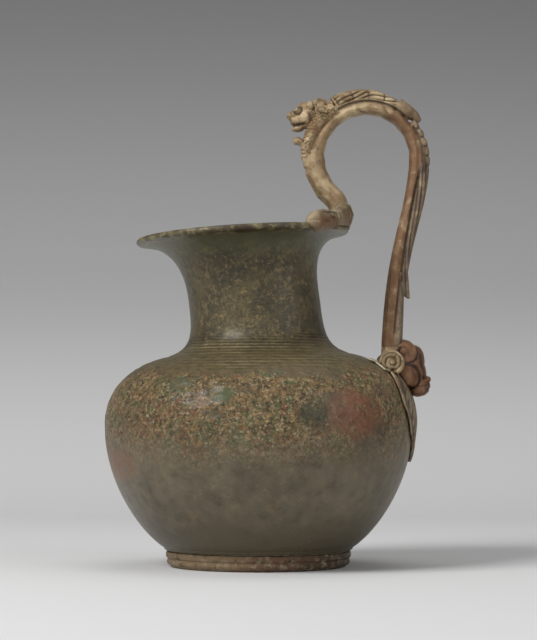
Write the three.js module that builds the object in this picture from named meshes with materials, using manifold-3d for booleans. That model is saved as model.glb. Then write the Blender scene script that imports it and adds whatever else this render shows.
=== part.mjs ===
// Bronze wine jug (oinochoe) with a round flared mouth, a squat belly, a low foot ring
// and one high cast handle: a lion's head over the mouth, two arms that clasp the rim,
// a leafy back and a lion's paw on a leaf-shaped plate. Millimetres, +Z up, the handle
// on +X, the origin on the vessel's axis at the height that the foot stands on.
import * as THREE from "three";
import { mergeVertices } from "three/addons/utils/BufferGeometryUtils.js";
import Module from "manifold-3d";

const wasm = await Module();
wasm.setup();

// Vessel
const FOOT_HEIGHT = 7.1;
const FOOT_RADIUS = 41.4;
const FOOT_TREAD_RADIUS = 38.6;
const FOOT_INNER_RADIUS = 35.8;
const FOOT_GROOVE_HEIGHT = 3.7;
const FOOT_GROOVE_DEPTH = 0.9;
const BASE_OPENING_RADIUS = 33;
const BASE_DISC_THICKNESS = 2.2;
const BOSS_RADIUS = 6;
const BOSS_RECESS = 0.6;
const BELLY_RADIUS = 69.1;
const BELLY_HEIGHT = 63.7;
const SHOULDER_RADIUS = 43.5;
const SHOULDER_HEIGHT = 93.8;
const SHOULDER_SLOPE = 0.25;
const NECK_RADIUS = 29.6;
const NECK_HEIGHT = 116;
const MOUTH_RADIUS = 47.9;
const MOUTH_HEIGHT = 146.4;
const WALL = 1.5;
const LIP = 2.8;
const MOUTH_OFFSET = 7.2;
const MOUTH_TILT = 3.5;

// Handle
const HANDLE_RISE = 32;
const HANDLE_REACH = 7.8;
const LOOP_RADIUS = 19.4;
const BAR_DEPTH = 9.6;
const BAR_WIDTH = 10.6;
const BACK_BAR_DEPTH = 5.2;
const RELIEF_DEPTH = 4;
const RELIEF_WIDTH = 11.6;
const ARCH_RELIEF_DEPTH = 6;
const MANE_DEPTH = 5.2;
const MANE_WIDTH = 12.6;
const HEAD_LENGTH = 13.8;
const HEAD_WIDTH = 11.6;
const HEAD_HEIGHT = 13;
const HEAD_NOD = 8;
const CHIN_LEAF_LENGTH = 8.5;
const ARM_REACH = 53;
const ARM_ROOT_RADIUS = 6.2;
const ARM_HEAD_RADIUS = 4.9;
const PAW_LENGTH = 20;
const PAW_WIDTH = 18;
const SCROLL_RADIUS = 5.6;
const SCROLL_SPREAD = 16.6;
const PLATE_DROP = 8.8;
const PLATE_TOP = SHOULDER_HEIGHT - PLATE_DROP;
const PLATE_TIP = 46.8;
const PLATE_HALF_ANGLE = 22;
const PLATE_THICKNESS = 2.2;

// Joints between the pieces
const CLEARANCE = 0.3;
const SOLDER = 0.3;
const SEAM = 0.5;

// Fineness of the round forms
const TURNS = 40;
const SIDES = 10;

const radians = THREE.MathUtils.degToRad;
const clamp01 = (value) => THREE.MathUtils.clamp(value, 0, 1);

// The mouth leans towards the pouring side and dips there, more and more above the shoulder.
function lean(x, y, z) {
  const rise = clamp01((z - SHOULDER_HEIGHT) / (MOUTH_HEIGHT - SHOULDER_HEIGHT));
  const tilt = clamp01((z - BELLY_HEIGHT) / (MOUTH_HEIGHT - BELLY_HEIGHT));
  const slope = Math.tan(radians(MOUTH_TILT * tilt));
  return new THREE.Vector3(x - MOUTH_OFFSET * rise ** 1.8, y, z + x * slope);
}

// A closed geometry as a manifold solid, with its faces turned outwards.
function solidOf(geometry) {
  const bare = geometry.clone();
  bare.deleteAttribute("normal");
  bare.deleteAttribute("uv");
  const merged = mergeVertices(bare, 1e-4);
  const corners = merged.index.array;
  const points = merged.attributes.position;
  const kept = [];
  let volume = 0;
  const [a, b, c] = [new THREE.Vector3(), new THREE.Vector3(), new THREE.Vector3()];
  for (let i = 0; i < corners.length; i += 3) {
    const [p, q, r] = [corners[i], corners[i + 1], corners[i + 2]];
    if (p === q || q === r || r === p) continue;
    kept.push(p, q, r);
    a.fromBufferAttribute(points, p);
    b.fromBufferAttribute(points, q);
    c.fromBufferAttribute(points, r);
    volume += a.dot(b.cross(c));
  }
  if (volume < 0) kept.reverse();
  const mesh = new wasm.Mesh({
    numProp: 3,
    vertProperties: new Float32Array(points.array),
    triVerts: new Uint32Array(kept),
  });
  return new wasm.Manifold(mesh);
}

function geometryOf(solid) {
  const mesh = solid.getMesh();
  const geometry = new THREE.BufferGeometry();
  geometry.setAttribute("position", new THREE.BufferAttribute(mesh.vertProperties, 3));
  geometry.setIndex(new THREE.BufferAttribute(mesh.triVerts, 1));
  return geometry;
}

const join = (solids) => solids.reduce((whole, solid) => whole.add(solid));

// A solid with its neighbours' room cut away, without the slivers that the cut leaves.
function fitted(solid, neighbours) {
  const cut = neighbours.reduce((rest, room) => rest.subtract(room), solid);
  return cut.decompose().reduce((most, part) => (part.volume() > most.volume() ? part : most));
}

// A closed skin over rings of equally many points, with a fan over each end.
function loft(rings) {
  const count = rings[0].length;
  const points = rings.flat();
  const faces = [];
  for (let ring = 0; ring + 1 < rings.length; ring++) {
    for (let i = 0; i < count; i++) {
      const here = ring * count + i;
      const next = ring * count + ((i + 1) % count);
      faces.push(here, next, here + count, next, next + count, here + count);
    }
  }
  for (const [ring, order] of [[0, 1], [rings.length - 1, -1]]) {
    const middle = new THREE.Vector3();
    rings[ring].forEach((point) => middle.addScaledVector(point, 1 / count));
    points.push(middle);
    for (let i = 0; i < count; i++) {
      const here = ring * count + i;
      const next = ring * count + ((i + 1) % count);
      faces.push(points.length - 1, ...(order > 0 ? [next, here] : [here, next]));
    }
  }
  const geometry = new THREE.BufferGeometry().setFromPoints(points);
  geometry.setIndex(faces);
  return solidOf(geometry);
}

// A profile of [radius, height] points turned about the vessel's axis.
function turned(profile, turns = TURNS) {
  const points = profile.map(([radius, height]) => new THREE.Vector2(radius, height));
  return new THREE.LatheGeometry(points, turns).rotateX(Math.PI / 2);
}

// The vessel's outer line from the foot up to the underside of the lip, as smooth curves.
function curve(start, startWay, startPull, end, endWay, endPull) {
  const [from, to] = [new THREE.Vector2(...start), new THREE.Vector2(...end)];
  const out = new THREE.Vector2(...startWay).setLength(startPull);
  const back = new THREE.Vector2(...endWay).setLength(endPull);
  const [first, second] = [from.clone().add(out), to.clone().sub(back)];
  return new THREE.CubicBezierCurve(from, first, second, to);
}
const LEDGE_HEIGHT = FOOT_HEIGHT + SOLDER;
const bellyStart = [FOOT_RADIUS + 0.9, LEDGE_HEIGHT + 1.2];
const bellyWide = [BELLY_RADIUS, BELLY_HEIGHT];
const shoulderTurn = [SHOULDER_RADIUS, SHOULDER_HEIGHT];
const neckNarrow = [NECK_RADIUS, NECK_HEIGHT];
const lipUnder = [MOUTH_RADIUS - LIP / 2, MOUTH_HEIGHT];
const UP = [0, 1];
const SHOULDER_WAY = [-1, SHOULDER_SLOPE];
const LOWER_BELLY = BELLY_HEIGHT - LEDGE_HEIGHT;
const UPPER_BELLY = SHOULDER_HEIGHT - BELLY_HEIGHT;
const NECK_RISE = NECK_HEIGHT - SHOULDER_HEIGHT;
const FLARE_RISE = MOUTH_HEIGHT - NECK_HEIGHT;
const outline = [
  [curve(bellyStart, [1.6, 1], 0.22 * LOWER_BELLY, bellyWide, UP, 0.47 * LOWER_BELLY), 6],
  [curve(bellyWide, UP, 0.19 * UPPER_BELLY, shoulderTurn, SHOULDER_WAY, 0.82 * UPPER_BELLY), 6],
  [curve(shoulderTurn, SHOULDER_WAY, 0.56 * NECK_RISE, neckNarrow, UP, 0.64 * NECK_RISE), 4],
  [curve(neckNarrow, UP, 0.3 * FLARE_RISE, lipUnder, [1, 0.1], 0.62 * FLARE_RISE), 6],
];

// Points of the outer line with their outward normals; the flare thickens into the lip.
function skinLine() {
  const line = [];
  outline.forEach(([part, steps], index) => {
    for (let i = index ? 1 : 0; i <= steps; i++) {
      const at = part.getPoint(i / steps);
      const way = part.getTangent(i / steps);
      const thicken = index === 3 ? clamp01((i / steps - 0.7) / 0.3) : 0;
      const wall = THREE.MathUtils.lerp(WALL, LIP, thicken);
      line.push({ at, normal: new THREE.Vector2(way.y, -way.x), wall });
    }
  });
  return line;
}
const skin = skinLine();

// The shell of one sheet: open at the mouth and, inside the foot, at the base.
function vesselShell(grow) {
  const ledge = LEDGE_HEIGHT - grow;
  const floor = LEDGE_HEIGHT + WALL + grow;
  const outer = skin.map(({ at, normal }) => at.clone().addScaledVector(normal, grow));
  const inner = skin.map(({ at, normal, wall }) => at.clone().addScaledVector(normal, -wall - grow));
  const end = skin[skin.length - 1];
  const lipMiddle = end.at.clone().addScaledVector(end.normal, -LIP / 2);
  const lip = [];
  for (let step = 1; step < 5; step++) {
    const turn = radians(step * 36);
    const way = end.normal.clone().rotateAround(new THREE.Vector2(), turn);
    lip.push(lipMiddle.clone().addScaledVector(way, LIP / 2 + grow));
  }
  const opening = BASE_OPENING_RADIUS - grow;
  const base = [[opening, ledge], [FOOT_RADIUS - 0.2, ledge], [FOOT_RADIUS + 0.6, ledge + 0.4]];
  const inside = inner.reverse().filter((point) => point.y > floor);
  const profile = [
    ...base,
    ...outer.map((point) => [point.x, point.y]),
    ...lip.map((point) => [point.x, point.y]),
    ...inside.map((point) => [point.x, point.y]),
    [FOOT_RADIUS - 1.6, floor],
    [opening, floor],
    [opening, ledge],
  ];
  const geometry = turned(profile);
  const points = geometry.attributes.position;
  for (let i = 0; i < points.count; i++) {
    const moved = lean(points.getX(i), points.getY(i), points.getZ(i));
    points.setXYZ(i, moved.x, moved.y, moved.z);
  }
  return solidOf(geometry);
}

// A point over the belly or shoulder: degrees round from the handle, height and distance out.
function overSkin(degrees, height, out) {
  const belly = skin.filter(({ at }) => at.y <= SHOULDER_HEIGHT);
  let next = belly.findIndex(({ at }) => at.y >= height);
  if (next < 1) next = next < 0 ? belly.length - 1 : 1;
  const [low, high] = [belly[next - 1], belly[next]];
  const share = (height - low.at.y) / (high.at.y - low.at.y);
  const at = low.at.clone().lerp(high.at, share);
  const normal = low.normal.clone().lerp(high.normal, share).normalize();
  const radius = at.x + normal.x * out;
  const turn = radians(degrees);
  return lean(radius * Math.cos(turn), radius * Math.sin(turn), at.y + normal.y * out);
}

// A point on the rim: degrees round from the handle, distance outside the lip's middle, and above it.
const RIM_LINE = MOUTH_RADIUS - LIP / 2;
function overRim(degrees, out, above) {
  const turn = radians(degrees);
  const radius = RIM_LINE + out;
  const height = MOUTH_HEIGHT + LIP / 2 + above;
  return lean(radius * Math.cos(turn), radius * Math.sin(turn), height);
}

function footRing() {
  const top = FOOT_HEIGHT;
  const groove = FOOT_RADIUS - FOOT_GROOVE_DEPTH;
  return solidOf(turned([
    [FOOT_INNER_RADIUS + 0.8, 0],
    [FOOT_TREAD_RADIUS, 0],
    [groove, FOOT_GROOVE_HEIGHT * 0.35],
    [FOOT_RADIUS - 0.3, FOOT_GROOVE_HEIGHT * 0.65],
    [groove, FOOT_GROOVE_HEIGHT],
    [FOOT_RADIUS, FOOT_GROOVE_HEIGHT + 0.9],
    [FOOT_RADIUS, top - 0.8],
    [FOOT_RADIUS - 0.5, top],
    [FOOT_INNER_RADIUS, top],
    [FOOT_INNER_RADIUS, 0.8],
    [FOOT_INNER_RADIUS + 0.8, 0],
  ]));
}

// The cast disc that closes the base, turned underneath with rings about a boss.
function baseDisc() {
  const top = FOOT_HEIGHT;
  const under = top - BASE_DISC_THICKNESS;
  const edge = FOOT_INNER_RADIUS - CLEARANCE;
  const ringRadii = [0.66];
  const profile = [[0, top], [edge, top], [edge, under]];
  for (const share of ringRadii) {
    const radius = edge * share;
    profile.push([radius + 2, under], [radius + 1, under - 1.4], [radius - 1, under - 1.4], [radius - 2, under]);
  }
  profile.push([BOSS_RADIUS + 1.5, under], [BOSS_RADIUS, BOSS_RECESS], [0, BOSS_RECESS]);
  return solidOf(turned(profile));
}

function footSolder() {
  const [inner, outer] = [BASE_OPENING_RADIUS + 0.6, FOOT_RADIUS - 1.2];
  const [low, high] = [FOOT_HEIGHT, LEDGE_HEIGHT];
  return solidOf(turned([[inner, low], [outer, low], [outer, high], [inner, high], [inner, low]]));
}

// The handle's inner edge: up from the rim, round the loop and down to the shoulder.
const rimSeat = overRim(0, LIP / 2 + 0.5, LIP / 2);
const footPoint = new THREE.Vector2(rimSeat.x, rimSeat.z - 1);
const loopMiddle = new THREE.Vector2(rimSeat.x + HANDLE_REACH, rimSeat.z + HANDLE_RISE);
const LOOP_START = 232;
const LOOP_END = -5;
const shoulderSeat = overSkin(0, PLATE_TOP + 4, 0);
const armEnd = new THREE.Vector2(shoulderSeat.x, shoulderSeat.z - 3);
const loopPoint = (degrees) => {
  const turn = radians(degrees);
  return new THREE.Vector2(
    loopMiddle.x + LOOP_RADIUS * Math.cos(turn),
    loopMiddle.y + LOOP_RADIUS * Math.sin(turn),
  );
};
const frontArm = curve(
  [footPoint.x, footPoint.y], [0.1, 1], 6,
  loopPoint(LOOP_START).toArray(), [-0.79, 0.62], 5,
);
const backDrop = loopPoint(LOOP_END).y - armEnd.y;
const backArm = curve(
  loopPoint(LOOP_END).toArray(), [-0.08, -1], 0.32 * backDrop,
  armEnd.toArray(), [-0.02, -1], 0.6 * backDrop,
);

// A place on the inner edge: 0 to 1 up the front arm, 1 to 2 round the loop, 2 to 3 down the back.
function edgeAt(place) {
  if (place > 1 && place < 2) {
    const degrees = THREE.MathUtils.lerp(LOOP_START, LOOP_END, place - 1);
    const at = loopPoint(degrees);
    return { at, outward: at.clone().sub(loopMiddle).normalize() };
  }
  const arm = place <= 1 ? frontArm : backArm;
  const share = place <= 1 ? place : place - 2;
  const way = arm.getTangent(share);
  return { at: arm.getPoint(share), outward: new THREE.Vector2(-way.y, way.x) };
}
const onLoop = (degrees) => 1 + (LOOP_START - degrees) / (LOOP_START - LOOP_END);

// A value read smoothly between hand-set [place, value] stops.
function between(stops, place) {
  const last = stops[stops.length - 1];
  if (place <= stops[0][0]) return stops[0][1];
  if (place >= last[0]) return last[1];
  const next = stops.findIndex(([at]) => at > place);
  const [from, to] = [stops[next - 1], stops[next]];
  const share = THREE.MathUtils.smoothstep(place, from[0], to[0]);
  return THREE.MathUtils.lerp(from[1], to[1], share);
}

// A ring of points with rounded sides between two depths off the inner edge.
function stripRing(place, low, high, halfWidth, squareness, sides) {
  const { at, outward } = edgeAt(place);
  const [middle, half] = [(low + high) / 2, (high - low) / 2];
  const ring = [];
  for (let i = 0; i < sides; i++) {
    const turn = (2 * Math.PI * i) / sides;
    const [c, s] = [Math.cos(turn), Math.sin(turn)];
    const across = halfWidth * Math.sign(c) * Math.abs(c) ** squareness;
    const depth = middle + half * Math.sign(s) * Math.abs(s) ** squareness;
    ring.push(new THREE.Vector3(at.x + outward.x * depth, across, at.y + outward.y * depth));
  }
  return ring;
}

// A strip of the handle between two places, from stops for its two depths and its half width.
function strip({ from, to, steps, low, high, half, squareness = 0.8, sides = SIDES }, grow = 0) {
  const rings = [];
  for (let i = 0; i <= steps; i++) {
    const place = THREE.MathUtils.lerp(from, to, i / steps);
    const [a, b] = [between(low, place) - grow, between(high, place) + grow];
    rings.push(stripRing(place, a, b, between(half, place) + grow, squareness, sides));
  }
  return loft(rings);
}

const SPUR = 2.735;
const THROAT = onLoop(152);
const bar = {
  from: 0,
  to: 3,
  steps: 34,
  low: [[0, 0]],
  high: [
    [0, BAR_DEPTH - 1.5], [1, BAR_DEPTH], [onLoop(185), BAR_DEPTH], [THROAT, MANE_DEPTH],
    [onLoop(60), BACK_BAR_DEPTH + 0.6], [2, BACK_BAR_DEPTH], [SPUR - 0.05, BACK_BAR_DEPTH],
    [SPUR + 0.02, BAR_DEPTH - 0.6], [3, BAR_DEPTH],
  ],
  half: [
    [0, BAR_WIDTH * 0.55], [1, BAR_WIDTH / 2], [onLoop(90), BAR_WIDTH / 2], [3, BAR_WIDTH / 2],
  ],
  squareness: 0.85,
};
const mane = {
  from: onLoop(190),
  to: onLoop(124),
  steps: 8,
  low: [[onLoop(190), BAR_DEPTH - 2], [onLoop(172), MANE_DEPTH], [onLoop(124), MANE_DEPTH - 1]],
  high: [
    [onLoop(190), BAR_DEPTH], [onLoop(172), BAR_DEPTH + 0.4], [onLoop(150), 2 * MANE_DEPTH],
    [onLoop(124), 2 * MANE_DEPTH],
  ],
  half: [[onLoop(190), MANE_WIDTH / 2 - 3], [onLoop(168), MANE_WIDTH / 2]],
};
const archMane = {
  from: onLoop(122),
  to: onLoop(60),
  steps: 9,
  low: [[1, BACK_BAR_DEPTH - 1.5]],
  high: [
    [onLoop(122), BACK_BAR_DEPTH + ARCH_RELIEF_DEPTH + 1], [onLoop(90), BACK_BAR_DEPTH + ARCH_RELIEF_DEPTH],
    [onLoop(60), BACK_BAR_DEPTH + ARCH_RELIEF_DEPTH - 1.5],
  ],
  half: [[onLoop(122), MANE_WIDTH / 2], [onLoop(60), RELIEF_WIDTH / 2]],
};
const archLeaf = {
  from: onLoop(59.2),
  to: onLoop(34),
  steps: 6,
  low: [[onLoop(50), BACK_BAR_DEPTH - 1], [onLoop(34), BACK_BAR_DEPTH + 3]],
  high: [[onLoop(59), BACK_BAR_DEPTH + 5.8], [onLoop(42), BACK_BAR_DEPTH + 5.9], [onLoop(34), BACK_BAR_DEPTH + 5]],
  half: [[onLoop(59), RELIEF_WIDTH / 2 + 0.4], [onLoop(48), RELIEF_WIDTH / 2], [onLoop(34), 1.2]],
};
const backLeaf = {
  from: onLoop(38),
  to: SPUR + 0.02,
  steps: 16,
  low: [[2, BACK_BAR_DEPTH - 1.5], [SPUR - 0.06, BACK_BAR_DEPTH - 1], [SPUR + 0.02, BAR_DEPTH]],
  high: [
    [onLoop(38), BACK_BAR_DEPTH + RELIEF_DEPTH - 1], [2, BACK_BAR_DEPTH + RELIEF_DEPTH],
    [SPUR - 0.1, BACK_BAR_DEPTH + RELIEF_DEPTH - 0.6], [SPUR + 0.02, BAR_DEPTH + 1.8],
  ],
  half: [[onLoop(38), RELIEF_WIDTH / 2 - 1.5], [2, RELIEF_WIDTH / 2], [SPUR - 0.12, RELIEF_WIDTH / 2 - 0.8], [SPUR + 0.02, 1]],
};

// A round lump: its middle, its three half lengths and how finely it is cut.
function lump(middle, halves, grow = 0, detail = 1) {
  const ball = new THREE.IcosahedronGeometry(1, detail);
  ball.scale(halves[0] + grow, halves[1] + grow, halves[2] + grow);
  return solidOf(ball.translate(middle.x, middle.y, middle.z));
}

// The lion's head looks out over the mouth; its own axes are forward, sideways and up.
const headPlace = edgeAt(onLoop(148));
const headMiddle = headPlace.at.clone().addScaledVector(headPlace.outward, 1.52 * BAR_DEPTH);
const headForward = new THREE.Vector3(-Math.cos(radians(HEAD_NOD)), 0, -Math.sin(radians(HEAD_NOD)));
const headUp = new THREE.Vector3(-Math.sin(radians(HEAD_NOD)), 0, Math.cos(radians(HEAD_NOD)));
const HEAD_LUMPS = [
  [-0.12, 0, -0.02, 0.4, 0.47, 0.42],
  [-0.08, 0, 0.3, 0.25, 0.38, 0.22],
  [0.2, 0, 0.1, 0.3, 0.24, 0.2],
  [0.43, 0, 0.07, 0.11, 0.16, 0.11],
  [0.24, 0.13, -0.13, 0.2, 0.17, 0.19],
  [0.24, -0.13, -0.13, 0.2, 0.17, 0.19],
  [0.24, 0, -0.36, 0.22, 0.22, 0.13],
  [-0.26, 0.36, 0.34, 0.12, 0.12, 0.16],
  [-0.26, -0.36, 0.34, 0.12, 0.12, 0.16],
];
function headSpot(forward, side, up) {
  const spot = new THREE.Vector3(headMiddle.x, side * HEAD_WIDTH, headMiddle.y);
  return spot.addScaledVector(headForward, forward * HEAD_LENGTH).addScaledVector(headUp, up * HEAD_HEIGHT);
}
function lionHead(grow = 0) {
  return join(HEAD_LUMPS.map(([forward, side, up, long, wide, high]) => {
    const halves = [long * HEAD_LENGTH, wide * HEAD_WIDTH, high * HEAD_HEIGHT];
    return lump(headSpot(forward, side, up), halves, grow);
  }));
}

// The ruff: a fan of hair locks that stand up behind the head.
function ruff(grow = 0) {
  const locks = [];
  for (let i = -2; i <= 2; i++) {
    const turn = radians(i * 42);
    const side = 0.4 * Math.sin(turn);
    const up = 0.05 + 0.36 * Math.cos(turn);
    locks.push(lump(headSpot(-0.62, side, up), [3.4, 2.2, 2.4], grow));
  }
  return join([...locks, lump(headSpot(-0.6, 0, 0.02), [3, 4.6, 4.4], grow)]);
}

// The pointed leaf that curls out under the chin.
function chinLeaf() {
  const root = edgeAt(onLoop(176));
  const rings = [];
  for (let i = 0; i <= 5; i++) {
    const share = i / 5;
    const out = BAR_DEPTH - 1.5 + CHIN_LEAF_LENGTH * share * 0.62;
    const lift = CHIN_LEAF_LENGTH * (0.1 + 0.5 * Math.sin(share * 2.2));
    const middle = root.at.clone().addScaledVector(root.outward, out);
    const [high, wide] = [2 - 1.5 * share, 4.4 * (1 - share) ** 0.6 + 0.4];
    const ring = [];
    for (let k = 0; k < 8; k++) {
      const turn = (Math.PI * k) / 4;
      const rise = middle.y + lift + high * Math.sin(turn);
      ring.push(new THREE.Vector3(middle.x - 0.5 * high * Math.sin(turn), wide * Math.cos(turn), rise));
    }
    rings.push(ring);
  }
  return loft(rings);
}

// An arm that lies along the rim and ends in a rounded bird's head; side is -1 near, 1 far.
const ARM_SHAPE = [
  [0, ARM_ROOT_RADIUS * 0.85, 5.8],
  [12, ARM_ROOT_RADIUS, 6.2],
  [23, ARM_ROOT_RADIUS * 0.75, 4.4],
  [30, ARM_HEAD_RADIUS * 0.82, 3.2],
  [40, ARM_HEAD_RADIUS, 2.5],
  [48, ARM_HEAD_RADIUS * 0.9, 2],
  [ARM_REACH, 0.9, 1.2],
];
function rimArm(side, grow = 0) {
  const radii = ARM_SHAPE.map(([at, radius]) => [at, radius]);
  const heights = ARM_SHAPE.map(([at, , height]) => [at, height]);
  const rings = [];
  for (let i = 0; i <= 9; i++) {
    const degrees = 1.5 + (ARM_REACH - 1.5) * (i / 9);
    const [radius, above] = [between(radii, degrees) + grow, between(heights, degrees)];
    const inward = THREE.MathUtils.lerp(0.8, -0.6, i / 9);
    const ring = [];
    for (let k = 0; k < 8; k++) {
      const turn = (2 * Math.PI * k) / 8;
      const [out, up] = [0.76 * radius * Math.cos(turn), radius * Math.sin(turn)];
      ring.push(overRim(side * (i ? degrees : degrees - 3 * grow), out - inward, above + up));
    }
    rings.push(ring);
  }
  return loft(rings);
}

// A thin bed of soft solder on the rim under the arms.
function rimSolder(grow = 0) {
  const rings = [];
  const reach = 30 + 2 * grow;
  for (let degrees = -reach; degrees <= reach + 0.01; degrees += reach / 5) {
    const low = LIP / 2 + CLEARANCE + 0.15 - grow;
    const high = low + SEAM + 2 * grow;
    ring4(rings, degrees, [[-4 - grow, low], [0.4 + grow, low], [0.4 + grow, high], [-4 - grow, high]]);
  }
  return loft(rings);
}
function ring4(rings, degrees, corners) {
  rings.push(corners.map(([out, above]) => overRim(degrees, out, above)));
}

// The leaf-shaped plate on the belly under the paw: half width in degrees at shares of its height.
const LEAF_EDGE = [[0, 0.72], [0.18, 0.95], [0.34, 1], [0.5, 0.84], [0.62, 0.72], [0.85, 0.3], [1, 0.03]];
function plate(grow = 0) {
  const rings = [];
  const rows = 14;
  for (let row = 0; row <= rows; row++) {
    const share = row / rows;
    const height = THREE.MathUtils.lerp(PLATE_TOP + grow, PLATE_TIP - grow, share);
    const half = between(LEAF_EDGE, share) * PLATE_HALF_ANGLE + grow;
    const [outer, inner] = [[], []];
    for (let i = 0; i <= 8; i++) {
      const across = i / 4 - 1;
      const rib = 0.55 + 0.45 * (1 - Math.abs(across)) + 0.08 * Math.cos(across * 9);
      const out = CLEARANCE + PLATE_THICKNESS * rib * (1 - 0.35 * share) + grow;
      outer.push(overSkin(across * half, height, out));
      inner.unshift(overSkin(across * half, height, CLEARANCE + 0.05 - grow));
    }
    rings.push([...outer, ...inner]);
  }
  return loft(rings);
}

// A scroll at the side of the handle's foot, rolled about an axis along Y.
const scrollSeat = overSkin(14, PLATE_TOP + 1.4, 3.9);
function scroll(side, grow = 0) {
  const roll = [
    [0, 6], [3.2, 6], [3.4, 10], [SCROLL_RADIUS, 12.4], [SCROLL_RADIUS, SCROLL_SPREAD - 1],
    [SCROLL_RADIUS - 1, SCROLL_SPREAD], [SCROLL_RADIUS - 2, SCROLL_SPREAD - 0.8],
    [1.6, SCROLL_SPREAD - 0.8], [1, SCROLL_SPREAD + 0.3], [0, SCROLL_SPREAD + 0.3],
  ];
  const points = roll.map(([radius, along], index) => {
    const end = index < 2 ? -grow : index > 5 ? grow : 0;
    return new THREE.Vector2(radius ? radius + grow : 0, along + end);
  });
  const geometry = new THREE.LatheGeometry(points, 14).scale(1, side, 1);
  return solidOf(geometry.translate(scrollSeat.x, 0, scrollSeat.z));
}

// Solder that squeezed out on the shoulder round the scrolls and the plate's top.
function plateSolder(grow = 0) {
  const rings = [];
  for (let row = 0; row <= 4; row++) {
    const height = THREE.MathUtils.lerp(PLATE_TOP + 0.9 - grow, PLATE_TOP + 6 + grow, row / 4);
    const half = 19 + grow;
    const [outer, inner] = [[], []];
    for (let i = 0; i <= 8; i++) {
      const degrees = (i / 4 - 1) * half;
      outer.push(overSkin(degrees, height, CLEARANCE + SEAM + grow));
      inner.unshift(overSkin(degrees, height, CLEARANCE - grow));
    }
    rings.push([...outer, ...inner]);
  }
  return loft(rings);
}

// The lion's paw: wrist, knuckles, four toes, a broad pad and the claws' tips.
const pawSeat = overSkin(0, PLATE_TOP - 1, 0);
const PAW_LUMPS = [
  [3.6, 0, 10.8, 6.2, 6.4, 6],
  [7, 0, 4.6, 6.4, 7.6, 8.4],
  [4.4, 6, 1.2, 4, 3.4, 6.2],
  [4.4, -6, 1.2, 4, 3.4, 6.2],
  [9, 2.4, 6.6, 4.4, 3, 7.6],
  [9, -2.4, 6.6, 4.4, 3, 7.6],
  [9.4, 0, 1.4, 5, 7, 6.5],
  [10.4, 0, -4.4, 5.8, 8.2, 5],
];
function pawSpot(x, y, z) {
  const scaleAlong = PAW_LENGTH / 20;
  const scaleAcross = PAW_WIDTH / 18;
  return new THREE.Vector3(pawSeat.x + x * scaleAlong, y * scaleAcross, pawSeat.z + z * scaleAlong);
}
function paw(grow = 0) {
  const lumps = PAW_LUMPS.map(([x, y, z, long, wide, high]) => lump(
    pawSpot(x, y, z), [(long * PAW_LENGTH) / 20, (wide * PAW_WIDTH) / 18, (high * PAW_LENGTH) / 20],
    grow,
  ));
  for (const side of [-5.4, -1.8, 1.8, 5.4]) {
    lumps.push(lump(pawSpot(14.6, side, -1.6), [1.3, 0.9, 1.6], grow));
  }
  return join(lumps);
}

// Each piece gives way to the ones that it is set against.
const vessel = vesselShell(0);
const vesselRoom = vesselShell(CLEARANCE);
const rimBed = rimSolder();
const rimBedRoom = rimSolder(CLEARANCE);
const shoulderBed = plateSolder();
const shoulderBedRoom = plateSolder(CLEARANCE);
const plateSolid = fitted(plate(), [shoulderBedRoom]);
const plateRoom = plate(CLEARANCE);
const armRooms = [rimArm(-1, CLEARANCE), rimArm(1, CLEARANCE)];
const barSeat = shoulderBedRoom.add(plateRoom).hull();
const barSolid = fitted(strip(bar), [vesselRoom, rimBedRoom, barSeat, ...armRooms]);
const barRoom = strip(bar, CLEARANCE);
const scrollRooms = [scroll(-1, CLEARANCE), scroll(1, CLEARANCE)];
const head = lionHead();
const headRoom = lionHead(CLEARANCE);
const ruffSolid = fitted(ruff(), [headRoom, barRoom, strip(mane, CLEARANCE), strip(archMane, CLEARANCE)]);
const maneSolid = fitted(strip(mane), [barRoom, headRoom]);
const maneRoom = strip(mane, CLEARANCE);
const seated = [vesselRoom, shoulderBedRoom, plateRoom, barRoom];

const BRONZE = { metalness: 0.35, roughness: 0.6 };
const metal = (colour) => new THREE.MeshStandardMaterial({ color: colour, ...BRONZE });
const VESSEL_BROWN = 0x5d5540;
const FOOT_TAN = 0x6d5a44;
const HANDLE_CREAM = 0xa08a68;
const ARM_RED = 0x8c6450;
const PAW_CHESTNUT = 0x6e4a34;
const LEAF_GREY = 0x7a6a58;
const SOLDER_PALE = 0xb8b09a;

const jug = new THREE.Group();
function place(name, solid, colour, parent = jug) {
  const mesh = new THREE.Mesh(geometryOf(solid), metal(colour));
  mesh.name = name;
  parent.add(mesh);
}
place("vessel_body", vessel, VESSEL_BROWN);
place("base_disc", baseDisc(), FOOT_TAN);
place("foot_ring", footRing(), FOOT_TAN);
place("foot_solder", footSolder(), SOLDER_PALE);

const handle = new THREE.Group();
jug.add(handle);
place("handle_bar", barSolid, HANDLE_CREAM, handle);
place("lion_head", fitted(head, [barRoom]), HANDLE_CREAM, handle);
place("lion_ruff", ruffSolid, HANDLE_CREAM, handle);
place("neck_mane", maneSolid, HANDLE_CREAM, handle);
place("chin_leaf", fitted(chinLeaf(), [barRoom, headRoom, maneRoom]), HANDLE_CREAM, handle);
place("arch_mane", fitted(strip(archMane), [barRoom, maneRoom]), HANDLE_CREAM, handle);
place("arch_leaf", fitted(strip(archLeaf), [barRoom]), HANDLE_CREAM, handle);
place("back_leaf", fitted(strip(backLeaf), [barRoom, strip(archLeaf, CLEARANCE)]), LEAF_GREY, handle);
place("rim_arm_near", fitted(rimArm(-1), [vesselRoom, rimBedRoom]), ARM_RED, handle);
place("rim_arm_far", fitted(rimArm(1), [vesselRoom, rimBedRoom]), ARM_RED, handle);
place("rim_solder", rimBed, SOLDER_PALE);
place("scroll_near", fitted(scroll(-1), seated), HANDLE_CREAM, handle);
place("scroll_far", fitted(scroll(1), seated), HANDLE_CREAM, handle);
place("lion_paw", fitted(paw(), [...seated, ...scrollRooms]), PAW_CHESTNUT, handle);
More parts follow.
